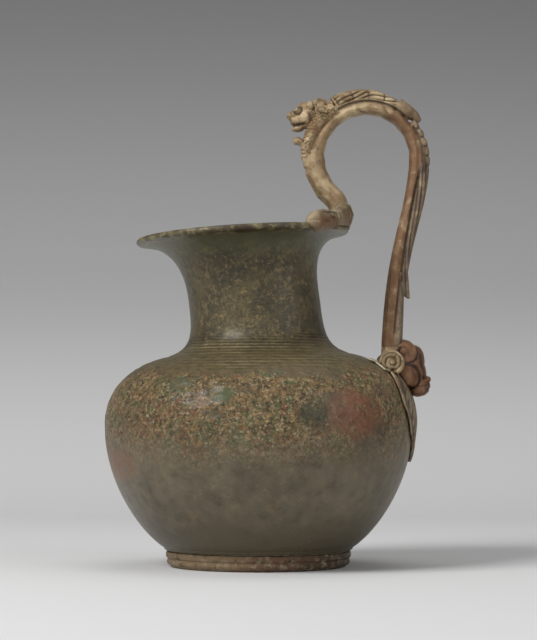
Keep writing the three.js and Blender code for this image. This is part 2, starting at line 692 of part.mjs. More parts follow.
place("leaf_plate", plateSolid, LEAF_GREY, handle);
place("shoulder_solder", shoulderBed, SOLDER_PALE);

export default jug;
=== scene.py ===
import math

import bmesh
import bpy
import numpy as np
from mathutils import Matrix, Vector, noise


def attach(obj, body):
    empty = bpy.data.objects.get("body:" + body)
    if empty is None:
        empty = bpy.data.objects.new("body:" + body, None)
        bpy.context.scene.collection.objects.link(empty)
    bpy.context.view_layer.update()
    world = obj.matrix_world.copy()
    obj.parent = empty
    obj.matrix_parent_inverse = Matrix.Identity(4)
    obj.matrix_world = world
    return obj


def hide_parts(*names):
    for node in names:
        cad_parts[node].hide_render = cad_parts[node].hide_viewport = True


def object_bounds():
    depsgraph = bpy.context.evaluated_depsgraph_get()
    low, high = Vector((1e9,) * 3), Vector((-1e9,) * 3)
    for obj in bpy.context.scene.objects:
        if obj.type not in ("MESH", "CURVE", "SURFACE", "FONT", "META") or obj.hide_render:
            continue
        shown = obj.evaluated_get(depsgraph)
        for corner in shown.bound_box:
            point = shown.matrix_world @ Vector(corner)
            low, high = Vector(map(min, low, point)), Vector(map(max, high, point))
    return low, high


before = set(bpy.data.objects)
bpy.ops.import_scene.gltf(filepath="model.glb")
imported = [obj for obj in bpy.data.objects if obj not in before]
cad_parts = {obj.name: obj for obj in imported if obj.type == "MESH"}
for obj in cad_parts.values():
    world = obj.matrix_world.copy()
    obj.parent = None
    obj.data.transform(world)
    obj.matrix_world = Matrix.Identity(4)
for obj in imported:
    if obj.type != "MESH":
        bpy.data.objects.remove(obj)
CAD_BOX = [list(corner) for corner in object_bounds()]
MM = 0.001
PER_METRE = 1000
LOW, HIGH = np.array(CAD_BOX[0]) * PER_METRE, np.array(CAD_BOX[1]) * PER_METRE
print("nodes:", len(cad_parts), "box in mm:", LOW.round(1), HIGH.round(1))

# %% [markdown]
# A finish is a sum of textures and masks. Blender adds and multiplies with Math nodes, which take many
# lines to place and link. So one small class holds a socket and gives it Python's operators, with the
# number on either side, and each operator adds the node that it needs.
# %% Arithmetic on sockets


def put(tree, socket, value):
    """Links a value to a socket, or writes a plain number or colour into it."""
    if isinstance(value, Value):
        tree.links.new(value.socket, socket)
    else:
        socket.default_value = value


class Value:
    """A shader socket that takes part in Python's sums."""

    def __init__(self, tree, socket):
        self.tree = tree
        self.socket = socket

    def maths(self, operation, first, second=0.0):
        node = self.tree.nodes.new("ShaderNodeMath")
        node.operation = operation
        put(self.tree, node.inputs[0], first)
        put(self.tree, node.inputs[1], second)
        return Value(self.tree, node.outputs[0])

    def __add__(self, other):
        return self.maths("ADD", self, other)

    def __radd__(self, other):
        return self.maths("ADD", other, self)

    def __sub__(self, other):
        return self.maths("SUBTRACT", self, other)

    def __rsub__(self, other):
        return self.maths("SUBTRACT", other, self)

    def __mul__(self, other):
        return self.maths("MULTIPLY", self, other)

    def __rmul__(self, other):
        return self.maths("MULTIPLY", other, self)

    def __truediv__(self, other):
        return self.maths("DIVIDE", self, other)

    def __rtruediv__(self, other):
        return self.maths("DIVIDE", other, self)

    def __pow__(self, other):
        return self.maths("POWER", self, other)

    def __rpow__(self, other):
        return self.maths("POWER", other, self)

    def sine(self):
        return self.maths("SINE", self)

    def ramp(self, low, high):
        """0 at low, 1 at high, smooth in between; low may be the larger."""
        node = self.tree.nodes.new("ShaderNodeMapRange")
        node.interpolation_type = "SMOOTHSTEP"
        settings = (self, min(low, high), max(low, high), 0.0, 1.0)
        for socket, value in zip(node.inputs, settings):
            put(self.tree, socket, value)
        made = Value(self.tree, node.outputs[0])
        return 1.0 - made if low > high else made

    def between(self, rising, falling):
        """1 in a zone; each pair of limits goes from where the zone is 0 to where it is 1."""
        return self.ramp(*rising) * self.ramp(*falling)


print("sums on sockets: + - * / ** and their reflected forms")

# %% [markdown]
# The colours are written as screen numbers of 0 to 255. A shader adds up light instead, so each number
# is first straightened by the screen's own standard curve.
# %% Colours as light


def linear(red, green, blue):
    """A screen colour of 0 to 255 as the linear colour that a socket takes."""
    parts = [c / 255 for c in (red, green, blue)]
    return [c / 12.92 if c <= 0.04045 else ((c + 0.055) / 1.055) ** 2.4 for c in parts] + [1.0]


OLIVE = linear(88, 78, 50)
GREEN = linear(88, 102, 62)
RED_BROWN = linear(142, 88, 60)
print("olive as light:", [round(part, 3) for part in OLIVE])

# %% [markdown]
# Old bronze is never one colour: salts, wear and soil lie over each other as blotches and specks. They
# could be painted on an image, but noise of the right size looks as random and stays sharp close up.
# This class holds one material and gives such textures by their size in millimetres. They read Object
# coordinates, so that they stay fixed to the metal.
# %% A finish and its textures
OBJECT_PLACE = 3  # the output of Texture Coordinate that gives a point's place on its object
STORED_NUMBER = 2  # the output of Attribute that gives one number
MIX_FACTOR, MIX_BELOW, MIX_ABOVE, MIX_COLOUR = 0, 6, 7, 2  # the sockets of Mix that carry colours
FINE = 8  # levels of noise, enough for ragged edges
CORE = 0.25  # a spot is at full strength within half its radius, where the square is this
COAT_ROUGHNESS = 0.3


class Finish:
    """One material. make() adds any node from its type, settings and sockets."""

    def __init__(self, name):
        self.material = bpy.data.materials.new(name)
        self.material.use_nodes = True
        self.tree = self.material.node_tree
        self.shader = self.tree.nodes["Principled BSDF"]
        self.place = self.make("TexCoord", output=OBJECT_PLACE)
        self.x, self.y, self.z = (self.make("SeparateXYZ", {}, {0: self.place}, i) for i in range(3))

    def make(self, kind, settings=None, sockets=None, output=0):
        node = self.tree.nodes.new("ShaderNode" + kind)
        for name, value in (settings or {}).items():
            setattr(node, name, value)
        for key, value in (sockets or {}).items():
            put(self.tree, node.inputs[key], value)
        return Value(self.tree, node.outputs[output])

    def grain(self, size, detail=4.0, rough=0.6, twist=0.0):
        """Noise whose blotches are about that many millimetres across."""
        sockets = {"Vector": self.place, "Scale": PER_METRE / size, "Detail": detail}
        sockets |= {"Roughness": rough, "Distortion": twist}
        return self.make("TexNoise", {}, sockets)

    def cells(self, size):
        """Distance to the nearest of the points strewn that many millimetres apart."""
        return self.make("TexVoronoi", {}, {"Vector": self.place, "Scale": PER_METRE / size})

    def stored(self, name):
        """The number that the piece's vertices carry under that name, or 0 if they carry none."""
        return self.make("Attribute", {"attribute_name": name}, {}, STORED_NUMBER)

    def mix(self, factor, below, above):
        sockets = {MIX_FACTOR: factor, MIX_BELOW: below, MIX_ABOVE: above}
        return self.make("Mix", {"data_type": "RGBA"}, sockets, MIX_COLOUR)

    def speckled(self, colour, *layers):
        """Lays specks over a colour, each layer by size, roughness, limits of the noise, share, tint."""
        for size, rough, limits, share, tint in layers:
            specks = self.grain(size, FINE, rough).ramp(*limits)
            colour = self.mix(specks * share, colour, tint)
        return colour

    def near(self, middle, halves):
        """1 at a place in millimetres, 0 outside the ellipsoid of those half lengths."""
        total = None
        for value, at, half in zip((self.x, self.y, self.z), middle, halves):
            term = ((value - at * MM) / (half * MM)) ** 2.0
            total = term if total is None else total + term
        return total.ramp(1.0, CORE)

    def bump(self, height, millimetres, strength):
        sockets = {"Strength": strength, "Distance": millimetres * MM, "Height": height}
        return self.make("Bump", {}, sockets)

    def done(self, colour, roughness, metallic, normal=None, coat=0.0):
        inputs = self.shader.inputs
        put(self.tree, inputs["Base Color"], colour)
        put(self.tree, inputs["Roughness"], roughness)
        put(self.tree, inputs["Metallic"], metallic)
        put(self.tree, inputs["Coat Weight"], coat)
        put(self.tree, inputs["Coat Roughness"], COAT_ROUGHNESS)
        if normal:
            put(self.tree, inputs["Normal"], normal)
        return self.material


print("textures by size in millimetres: grain, cells, specks, spots and bump")

# %% [markdown]
# The lower belly is smooth taupe metal with pale and dark specks, and it darkens towards the foot.
# Higher up a thick crust of ochre, green and red lies on it. One noise could tint both, but they
# differ in contrast, so each has its own layers of specks.
# %% Colours of the belly and its crust
FOOT_SHADE = (0.030, 0.014)  # heights in metres, as the shader reads them


def plain_belly(f, height):
    colour = f.mix(f.grain(20, FINE, 0.7).ramp(0.35, 0.65), linear(106, 97, 78), linear(86, 78, 60))
    colour = f.speckled(
        colour,
        (2.5, 0.9, (0.51, 0.6), 0.7, linear(150, 130, 94)),
        (5, 0.9, (0.52, 0.6), 0.75, linear(58, 51, 35)),
        (9, 0.85, (0.55, 0.66), 0.7, linear(134, 112, 78)),
    )
    return f.mix(height.ramp(*FOOT_SHADE) * 0.8, colour, linear(84, 74, 52))


def crust(f):
    colour = f.mix(f.grain(2.6, FINE, 0.9).ramp(0.47, 0.54), linear(84, 68, 42), linear(172, 140, 90))
    swirls = f.grain(8, FINE, 0.9, twist=0.8).ramp(0.5, 0.57)
    return f.speckled(
        f.mix(swirls * 0.9, colour, GREEN),
        (5, 0.9, (0.52, 0.6), 1.0, RED_BROWN),
        (1.8, 0.9, (0.52, 0.58), 1.0, linear(40, 33, 22)),
        (1.5, 0.9, (0.53, 0.58), 1.0, linear(202, 186, 150)),
    )


print("belly and crust: colours ready")

# %% [markdown]
# The turned shoulder is lighter than the belly, the neck is dark olive, and the lip is pale and
# speckled along its edge. With a material for each, hard lines would part them, so they are layers of
# one finish, laid over each other by height. The lip leans, so its mask leans with it.
# %% Colours of the shoulder, neck and lip
LIP_SLOPE = 0.0612  # the lip's rise for each length along x
LIP_EDGE = (0.1455, 0.1468)
FLARE = (0.134, 0.145)


def turned_shoulder(f):
    return f.mix(f.grain(3, FINE, 0.8).ramp(0.44, 0.58), linear(124, 110, 76), OLIVE)


def dark_neck(f):
    return f.speckled(
        f.mix(f.grain(12, FINE, 0.7).ramp(0.38, 0.62), OLIVE, linear(58, 52, 34)),
        (2.6, 0.9, (0.51, 0.58), 0.8, linear(132, 114, 72)),
        (2, 0.9, (0.53, 0.6), 0.9, linear(32, 28, 18)),
    )


def worn_lip(f, height, colour):
    colour = f.mix(height.ramp(*FLARE) * 0.6, colour, linear(100, 102, 78))
    edge = (f.z - LIP_SLOPE * f.x).ramp(*LIP_EDGE)
    metal = f.mix(f.grain(4, FINE, 0.8).ramp(0.42, 0.54), linear(136, 126, 88), linear(66, 56, 36))
    return f.mix(edge, colour, metal)


print("shoulder, neck and lip: colours ready")

# %% [markdown]
# A few spots are too large and too plain to leave to chance, such as the red patch below the handle,
# the green ones on the near side and the dark chip in the lip. Noise can't be told where to put a
# spot, so each is an ellipsoid at its own place, with a ragged edge.
# %% Spots at set places
# The middle and the half lengths in millimetres, the tint and the share.
SPOTS = (
    ((40, -50, 68), (18, 20, 13), RED_BROWN, 0.75),
    ((23, -64, 68), (9, 14, 8), linear(62, 64, 44), 0.75),
    ((-15, -62, 76), (7, 14, 4), GREEN, 0.8),
    ((-33, -52, 80), (6, 14, 5), linear(98, 108, 78), 0.7),
    ((-30, 54, 66), (16, 20, 10), RED_BROWN, 0.7),
    ((20, 62, 72), (9, 16, 7), GREEN, 0.8),
    ((-6, -46, 147), (7, 5, 3.4), linear(58, 42, 28), 0.95),
    ((-58, -22, 46), (16, 26, 9), linear(132, 88, 60), 0.6),
)


def spotted(f, colour):
    patchy = f.grain(5, 6, 0.7).ramp(0.34, 0.5)
    for middle, halves, tint, share in SPOTS:
        colour = f.mix(f.near(middle, halves) * patchy * share, colour, tint)
    return colour


print("spots:", len(SPOTS))

# %% [markdown]
# The zones follow each other up the vessel, and corrosion doesn't stop at a line. So the height that
# they all ask for wanders up and down with a slow noise. The crust is also rougher and stands out in
# the bump, and fine turning lines run round the shoulder.
# %% The vessel's patina
WANDER = 0.022  # how far the zones' edges may wander, in metres
CRUSTED = ((0.038, 0.070), (0.096, 0.084))
TURNED = ((0.084, 0.090), (0.101, 0.096))
NECK = (0.095, 0.101)
SCORED = ((0.085, 0.090), (0.104, 0.099))
SCORE_WAVES = 4600.0  # radians a metre, a line every 1.4 mm
BRONZE_METAL = 0.35  # patina hides most of the metal


def zoned(f, height, crusted):
    colour = plain_belly(f, height)
    colour = f.mix(crusted * f.grain(16, 6).ramp(0.3, 0.5), colour, crust(f))
    colour = f.mix(height.between(*TURNED) * 0.85, colour, turned_shoulder(f))
    colour = f.mix(height.ramp(*NECK), colour, dark_neck(f))
    return worn_lip(f, height, colour)


def vessel_finish():
    f = Finish("vessel_patina")
    height = f.z + (f.grain(22) - 0.5) * WANDER
    crusted = height.between(*CRUSTED)
    colour = spotted(f, zoned(f, height, crusted))
    rough = 0.3 + 0.3 * crusted + 0.2 * f.grain(3)
    pits = (0.25 + crusted) * (f.grain(1.8, FINE, 0.85) + f.cells(2.4) * 0.4)
    scored = height.between(*SCORED) * (f.z * SCORE_WAVES).sine() * 0.12
    relief = pits + 0.3 * f.grain(6, 6, 0.7) + scored
    return f.done(colour, rough, BRONZE_METAL, f.bump(relief, 1.8, 1.0), coat=0.25)


VESSEL_FINISH = vessel_finish()
print(VESSEL_FINISH.name, len(VESSEL_FINISH.node_tree.nodes), "shader nodes")

# %% [markdown]
# The foot is tan on the pouring side and turns red-brown and then dark towards the handle. These are
# patina colours and painted light together: lighter on the lamp's side, shaded towards the handle. A
# ramp along x does that, bent by noise so that the change has no straight edge.
# %% The foot's patina, with painted light


def foot_finish():
    f = Finish("foot_patina_and_painted_light")
    # painted light and patina: tan on the lit pouring side, red-brown, then painted shade towards the
    # handle
    along = f.x * 9.0 + (f.grain(18) - 0.5) * 0.5
    colour = f.mix(along.ramp(-0.25, 0.1), linear(132, 110, 80), linear(110, 80, 60))
    colour = f.mix(along.ramp(0.1, 0.3), colour, linear(72, 58, 40))
    colour = f.speckled(
        colour,
        (3, 0.7, (0.5, 0.64), 1.0, linear(150, 136, 112)),
        (4, 0.85, (0.52, 0.62), 0.85, linear(54, 47, 31)),
    )
    relief = f.grain(1.6, FINE, 0.8) + 0.6 * f.grain(5)
    return f.done(colour, 0.45 + 0.2 * f.grain(4), 0.3, f.bump(relief, 0.9, 0.9))


FOOT_FINISH = foot_finish()
print(FOOT_FINISH.name, len(FOOT_FINISH.node_tree.nodes), "shader nodes")

# %% [markdown]
# The cast parts are pale where hands have rubbed them, and where the surface sinks they are darkened
# as painted shade. Blender can find hollows with a pointiness node, but that needs an even mesh. Here
# each cut stores how deep it goes at the vertices, so the finish reads the true depth, and the stains
# and the cheek's painted shade come in the same way.
# %% Cast bronze
# painted shade: how dark the deepest hollows of the cuts are made
HOLLOW_SHADE = 0.75  # how dark the deepest hollows are
# the brown tint is a stain, and on the lion's cheek also painted shade
BROWN_STAIN_AND_SHADE, GREY_STAIN = linear(116, 80, 54), linear(108, 92, 78)


def cast_finish(name, pale, middle, dark, blotch=9.0, rough=0.42, tint=None):
    """Pale metal with blotches of the middle colour, dark specks, painted shade in its hollows, and
    perhaps a tint.
    """
    f = Finish(name)
    colour = f.mix(f.grain(blotch, 6).ramp(0.36, 0.62), pale, middle)
    colour = f.speckled(colour, (2.6, 0.85, (0.54, 0.66), 0.75, dark))
    if tint:
        colour = f.mix(f.grain(6, 6, 0.6, twist=0.4).ramp(0.5, 0.66), colour, tint)
    # brown and grey stains; on the lion's cheek the brown one is painted shade as well
    for mark, stain_and_shade in (("brown", BROWN_STAIN_AND_SHADE), ("grey", GREY_STAIN)):
        spread = f.grain(5, 6, 0.7).ramp(0.25, 0.55)
        colour = f.mix(f.stored(mark) * spread * 0.85, colour, stain_and_shade)
    # painted shade: each cut is darkened by its depth
    colour = f.mix(f.stored("hollow") * HOLLOW_SHADE, colour, dark)
    relief = f.grain(1.3, FINE, 0.8) + 0.6 * f.grain(4)
    return f.done(colour, rough - 0.08 + 0.22 * f.grain(3), BRONZE_METAL, f.bump(relief, 0.6, 0.9))


CREAM_FINISH = cast_finish(
    "handle_patina", linear(196, 174, 138), linear(146, 120, 88), linear(54, 39, 28),
    tint=linear(118, 98, 66),
)
ARM_FINISH = cast_finish(
    "arm_patina", linear(164, 148, 118), linear(128, 108, 82), linear(58, 46, 32),
    tint=linear(104, 98, 62),
)
PAW_FINISH = cast_finish(
    "paw_patina", linear(150, 110, 78), linear(108, 74, 52), linear(38, 28, 22),
    blotch=11.0, rough=0.32,
)
LEAF_FINISH = cast_finish(
    "leaf_patina", linear(164, 146, 120), linear(104, 88, 70), linear(44, 36, 28),
    tint=linear(128, 104, 74),
)
for made in (CREAM_FINISH, ARM_FINISH, PAW_FINISH, LEAF_FINISH):
    print(made.name, len(made.node_tree.nodes), "shader nodes")

# %% [markdown]
# The beds of old solder under the foot, on the lip and on the shoulder keep the shape that they were
# drawn with, because they are thin and half hidden. They have corroded to a dull white, so they only
# need a finish of their own: pale, matt, with brown soil in it.
# %% The solder beds


def solder_finish():
    f = Finish("old_solder")
    colour = f.mix(f.grain(2.5, 6, 0.7).ramp(0.4, 0.6), linear(202, 194, 170), linear(142, 130, 104))
    colour = f.mix(f.grain(5, 4).ramp(0.56, 0.68), colour, linear(88, 76, 56))
    return f.done(colour, 0.7, 0.1, f.bump(f.grain(1.5, 5), 0.4, 0.7))


SOLDER_FINISH = solder_finish()
for node in ("foot_solder", "rim_solder", "shoulder_solder"):
    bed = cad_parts[node]
    bed.data.materials.clear()
    bed.data.materials.append(SOLDER_FINISH)
    print(node, "dressed")

# %% [markdown]
# The vessel is one sheet, raised with the hammer and turned true. Its outer line has four stretches:
# up to the belly, in to the shoulder, down into the neck and out to the lip. Each is a Bezier curve
# that leaves its ends in a known direction, so the stretches join without a corner.
# %% The vessel's outer line
FOOT_HEIGHT, FOOT_RADIUS, LEDGE = 7.1, 41.4, 7.4
BELLY_RADIUS, BELLY_HEIGHT = 69.1, 63.7
SHOULDER_RADIUS, SHOULDER_HEIGHT = 43.5, 93.8
NECK_RADIUS, NECK_HEIGHT = 29.6, 116.0
MOUTH_RADIUS, MOUTH_HEIGHT = 47.9, 146.4
WALL, LIP = 1.5, 2.8
BELLY_STEPS, NECK_STEPS, FLARE_STEPS = 60, 36, 44
LIP_SWELLS = 0.7  # the share of the flare after which the wall thickens towards the lip


def bezier(start, start_way, start_pull, end, end_way, end_pull, steps):
    """Points and tangents of a curve between two points."""
    a, d = np.array(start, float), np.array(end, float)
    first, last = np.array(start_way, float), np.array(end_way, float)
    b = a + first / np.linalg.norm(first) * start_pull
    c = d - last / np.linalg.norm(last) * end_pull
    t = np.linspace(0, 1, steps + 1)[:, None]
    points = (1 - t) ** 3 * a + 3 * (1 - t) ** 2 * t * b + 3 * (1 - t) * t**2 * c + t**3 * d
    ways = 3 * (1 - t) ** 2 * (b - a) + 6 * (1 - t) * t * (c - b) + 3 * t**2 * (d - c)
    return points, ways / np.linalg.norm(ways, axis=1)[:, None]


def outer_line():
    """The outer line of the vessel, its outward normals and the wall behind each point.

    Each end of a stretch pulls the curve its own way, by a share of the stretch's height.
    """
    lower, upper = BELLY_HEIGHT - LEDGE, SHOULDER_HEIGHT - BELLY_HEIGHT
    neck, flare = NECK_HEIGHT - SHOULDER_HEIGHT, MOUTH_HEIGHT - NECK_HEIGHT
    belly, turn = (BELLY_RADIUS, BELLY_HEIGHT), (SHOULDER_RADIUS, SHOULDER_HEIGHT)
    throat, lip = (NECK_RADIUS, NECK_HEIGHT), (MOUTH_RADIUS - LIP / 2, MOUTH_HEIGHT)
    start, up, slope = (FOOT_RADIUS + 0.9, LEDGE + 1.2), (0, 1), (-1, 0.25)
    stretches = [
        bezier(start, (1.6, 1), 0.22 * lower, belly, up, 0.47 * lower, BELLY_STEPS),
        bezier(belly, up, 0.19 * upper, turn, slope, 0.82 * upper, BELLY_STEPS),
        bezier(turn, slope, 0.56 * neck, throat, up, 0.64 * neck, NECK_STEPS),
        bezier(throat, up, 0.3 * flare, lip, (1, 0.1), 0.62 * flare, FLARE_STEPS),
    ]
    points = np.concatenate([stretches[0][0]] + [curve[1:] for curve, _ in stretches[1:]])
    ways = np.concatenate([stretches[0][1]] + [way[1:] for _, way in stretches[1:]])
    wall = np.full(len(points), WALL)
    along = np.linspace(0, 1, FLARE_STEPS + 1)[1:]
    wall[-FLARE_STEPS:] = WALL + (LIP - WALL) * np.clip((along - LIP_SWELLS) / (1 - LIP_SWELLS), 0, 1)
    return points, np.stack([ways[:, 1], -ways[:, 0]], 1), wall


print("points on the outer line:", len(outer_line()[0]))

# %% [markdown]
# A turned piece is a closed outline carried round the axis. Blender's Screw modifier can do it, but the
# hammered wall has to be dented while its points still lie in rows, so the rows are made here. Every
# piece is merged, its normals are turned outwards, and it sits at the origin with its place in its mesh.
# %% Turning an outline
TURNS = 256
WELD = 1e-7  # metres within which two vertices are one


def placed(name, data):
    """A new object at the origin, in the scene."""
    made = bpy.data.objects.new(name, data)
    bpy.context.scene.collection.objects.link(made)
    return made


def mesh_object(name, points, faces):
    mesh = bpy.data.meshes.new(name)
    mesh.from_pydata((points * MM).tolist(), [], faces)
    work = bmesh.new()
    work.from_mesh(mesh)
    bmesh.ops.remove_doubles(work, verts=work.verts, dist=WELD)
    bmesh.ops.recalc_face_normals(work, faces=work.faces)
    work.to_mesh(mesh)
    work.free()
    mesh.shade_smooth()
    return placed(name, mesh)


def turned(name, profile, turns=TURNS, shape=None):
    """A closed ring of [radius, height] points turned about the axis, then perhaps shaped."""
    rows = len(profile)
    turn = np.linspace(0, 2 * np.pi, turns, endpoint=False)
    points = np.concatenate([
        np.stack([r * np.cos(turn), r * np.sin(turn), np.full(turns, z)], 1) for r, z in profile
    ])
    if shape:
        points = shape(points, rows, turns)
    faces = []
    for row in range(rows):
        below, above = row * turns, ((row + 1) % rows) * turns
        for i in range(turns):
            j = (i + 1) % turns
            faces.append((below + i, below + j, above + j, above + i))
    return mesh_object(name, points, faces)


def dress(piece, material, slot, *nodes):
    """Gives a piece its finish and its place on the jug, and hides the nodes that it stands for."""
    piece.data.materials.clear()
    piece.data.materials.append(material)
    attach(piece, "root")
    if nodes:
        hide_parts(*nodes)
    print(piece.name, len(piece.data.polygons), "faces")


print("turned pieces have", TURNS, "steps round")

# %% [markdown]
# Raised bronze is never quite true. The wall has shallow dents, blisters and pits where the crust is,
# and turned lines on the shoulder. A sculpted displacement could give them, and so can a formula over
# smooth noise, which only goes inwards, so the jug keeps its size. Foot and lip stay true.
# %% Wear on the wall
CRUST_WORN = ((50, 60), (86, 93))  # heights in mm that each zone fades in and out over
LINES_TURNED = ((86, 88), (97, 99))
WALL_WORN = ((9, 12), (143, 146))
DENT, DENT_SIZE, DENT_BIAS = 0.12, 26, 0.6
BLISTER, BLISTER_SIZE, PIT_SIZE, PIT_SHARE = 0.75, 5.5, 2.6, 0.6
LINE_CUT, LINE_WAVES, LINE_SLANT, LINE_EDGE = 0.16, 3.9, 0.4, 0.55


def smooth_step(value, low, high):
    t = np.clip((value - low) / (high - low), 0, 1)
    return t * t * (3 - 2 * t)


def zone(value, rising, falling):
    """1 in a zone, with the limits that it fades in over and out over."""
    return smooth_step(value, *rising) * (1 - smooth_step(value, *falling))


def lumps(points, size, seed):
    """Smooth noise from -1 to 1 at points in millimetres."""
    shift = Vector((seed, seed, 0))
    return np.array([noise.noise(Vector(point) / size + shift) for point in points.tolist()])


def wear(skin):
    """How far the wall goes in, as a negative number of millimetres, at points of its outer side."""
    x, y, z = skin.T
    dents = DENT * (lumps(skin, DENT_SIZE, seed=3.0) - DENT_BIAS)
    pits = np.abs(lumps(skin, PIT_SIZE, seed=5.0))
    blisters = np.abs(lumps(skin, BLISTER_SIZE, seed=9.0)) + PIT_SHARE * pits
    waves = np.sin(z * LINE_WAVES + np.hypot(x, y) * LINE_SLANT) > LINE_EDGE
    depth = np.minimum(dents - BLISTER * zone(z, *CRUST_WORN) * blisters, 0)
    depth -= LINE_CUT * zone(z, *LINES_TURNED) * waves
    return depth * zone(z, *WALL_WORN)


print("the wall is worn from", WALL_WORN[0][0], "to", WALL_WORN[1][1], "mm up")

# %% [markdown]
# The wall's outline goes round the floor, up the outside, over the round lip and down the inside. The
# base disc closes the opening in the floor. Once it is turned and worn, the mouth is leaned and
# tipped to the pouring side, more and more with height, as on the real jug.
# %% The vessel
FLOOR_OPENING = 33.0
MOUTH_OFFSET, MOUTH_TILT = 7.2, 3.5
LIP_STEPS = 12


def lean(points):
    """The mouth leans and dips to the pouring side, more and more above the shoulder."""
    x, y, z = points.T
    rise = np.clip((z - SHOULDER_HEIGHT) / (MOUTH_HEIGHT - SHOULDER_HEIGHT), 0, 1)
    tilt = np.clip((z - BELLY_HEIGHT) / (MOUTH_HEIGHT - BELLY_HEIGHT), 0, 1)
    slope = np.tan(np.radians(MOUTH_TILT * tilt))
    return np.stack([x - MOUTH_OFFSET * rise**1.8, y, z + x * slope], 1)


def wall_outline():
    """The closed outline of the wall, the outer side's normals and the rows that they belong to."""
    points, normals, wall = outer_line()
    inner = (points - normals * wall[:, None])[::-2]
    inner = inner[inner[:, 1] > LEDGE + WALL]
    middle = points[-1] - normals[-1] * LIP / 2
    steps = math.atan2(normals[-1][1], normals[-1][0]) + np.linspace(0, np.pi, LIP_STEPS)[1:-1]
    lip = np.stack([np.cos(steps), np.sin(steps)], 1) * LIP / 2 + middle
    under = [[FLOOR_OPENING, LEDGE], [FOOT_RADIUS - 0.2, LEDGE], [FOOT_RADIUS + 0.6, LEDGE + 0.4]]
    floor = [[FOOT_RADIUS - 1.6, LEDGE + WALL], [FLOOR_OPENING, LEDGE + WALL]]
    outer = slice(len(under), len(under) + len(points))
    return np.concatenate([under, points, lip, inner, floor]), normals, outer


def vessel():
    outline, normals, outer = wall_outline()

    def worn_and_leaned(points, rows, turns):
        grid = points.reshape(rows, turns, 3)
        skin = grid[outer].reshape(-1, 3)
        turn = np.arctan2(skin[:, 1], skin[:, 0])
        out, up = np.repeat(normals, turns, axis=0).T
        way = np.stack([out * np.cos(turn), out * np.sin(turn), up], 1)
        grid[outer] = (skin + wear(skin)[:, None] * way).reshape(-1, turns, 3)
        return lean(grid.reshape(-1, 3))

    return turned("vessel", outline, shape=worn_and_leaned)


dress(vessel(), VESSEL_FINISH, "vessel_bronze", "vessel_body")

# %% [markdown]
# The foot ring and the base disc were turned too, and their mouldings are worn round. A Bevel modifier
# would round all corners by one width. Cutting each corner of the outline again and again rounds long
# sides more than short ones, as wear does. Rings are turned into the underside of the base.
# %% Foot and base
FOOT_INNER, TREAD, GROOVE_HEIGHT, GROOVE = 35.8, 38.6, 3.7, 0.9
DISC_EDGE, DISC_UNDER, BOSS, BOSS_RECESS = 35.5, 4.9, 6.0, 0.6
RINGS = ((0.85, 0.5), (0.66, 1.4), (0.42, 0.5))  # each ring's share of the disc's radius, and its depth
CENTRE = 0.05  # the outline stops just short of the axis, so that it stays a ring
CORNER_CUT = 0.2


def rounded(profile, rounds=3):
    """A closed profile with its corners cut again and again, which rounds them."""
    points = np.asarray(profile, float)
    keep = 1 - CORNER_CUT
    for _ in range(rounds):
        after = np.roll(points, -1, axis=0)
        cut = [points * keep + after * CORNER_CUT, points * CORNER_CUT + after * keep]
        points = np.stack(cut, 1).reshape(-1, 2)
    return points


def foot():
    groove = FOOT_RADIUS - GROOVE
    return turned("foot", rounded([
        [FOOT_INNER + 0.8, 0], [TREAD, 0], [groove, GROOVE_HEIGHT * 0.35],
        [FOOT_RADIUS - 0.3, GROOVE_HEIGHT * 0.65], [groove, GROOVE_HEIGHT],
        [FOOT_RADIUS, GROOVE_HEIGHT + 0.9], [FOOT_RADIUS, FOOT_HEIGHT - 0.8],
        [FOOT_RADIUS - 0.5, FOOT_HEIGHT], [FOOT_INNER, FOOT_HEIGHT], [FOOT_INNER, 0.8],
    ]))


def base():
    under = [[DISC_EDGE, DISC_UNDER]]
    for share, depth in RINGS:
        radius, bottom = DISC_EDGE * share, DISC_UNDER - depth
        under += [[radius + 2, DISC_UNDER], [radius + 1, bottom], [radius - 1, bottom]]
        under += [[radius - 2, DISC_UNDER]]
    under += [[BOSS + 1.5, DISC_UNDER], [BOSS, BOSS_RECESS], [CENTRE, BOSS_RECESS]]
    line = [[CENTRE, FOOT_HEIGHT], [DISC_EDGE, FOOT_HEIGHT], *under]
    return turned("base", rounded(line, 2), turns=TURNS // 2)


dress(foot(), FOOT_FINISH, "foot_bronze", "foot_ring")
dress(base(), FOOT_FINISH, "foot_bronze", "base_disc")

# %% [markdown]
# The handle is one casting from a wax model, and its hair, veins, toes, eyes and scrolls were cut into
# the wax. Sculpting by hand would give the same, but a script needs rules. So each kind of cut is a
# small formula over a vertex's place: how deep, in millimetres, times where it lies, times its line.
# %% Tools for cutting wax
LOOP_X, LOOP_Z, LOOP_RADIUS = 49.0, 184.16, 19.4
BAND = LOOP_RADIUS + 5.2  # from the loop's centre to where the smooth band ends and the relief begins
HAIR, VEIN = 0.16, 0.14  # the width of a groove between hairs or veins, as a share of their spacing
ARM_FOOT_X, ARM_FOOT_Z, ARM_HEIGHT, ARM_LEAN = 54.9, 87, 95.6, 13.4


def peak(value, width):
    return np.exp(-((value / width) ** 2))


def lines(value, width):
    """1 on every whole number, falling off over that share of the spacing."""
    return peak(value - np.round(value), width)


def window(value, low, high, soft):
    """1 between two limits, with edges that are that soft."""
    return zone(value, (low - soft, low + soft), (high - soft, high + soft))


def cuts(*rows):
    """The sum of cuts, each its depth in mm, where it lies and its line. Less than 0 goes inwards."""
    return sum(depth * where * line for depth, where, line in rows)


def inner_edge(z):
    """Where the back arm's inner side lies at a height."""
    return ARM_FOOT_X + ARM_LEAN * (np.clip(z - ARM_FOOT_Z, 0, None) / ARM_HEIGHT) ** 1.6


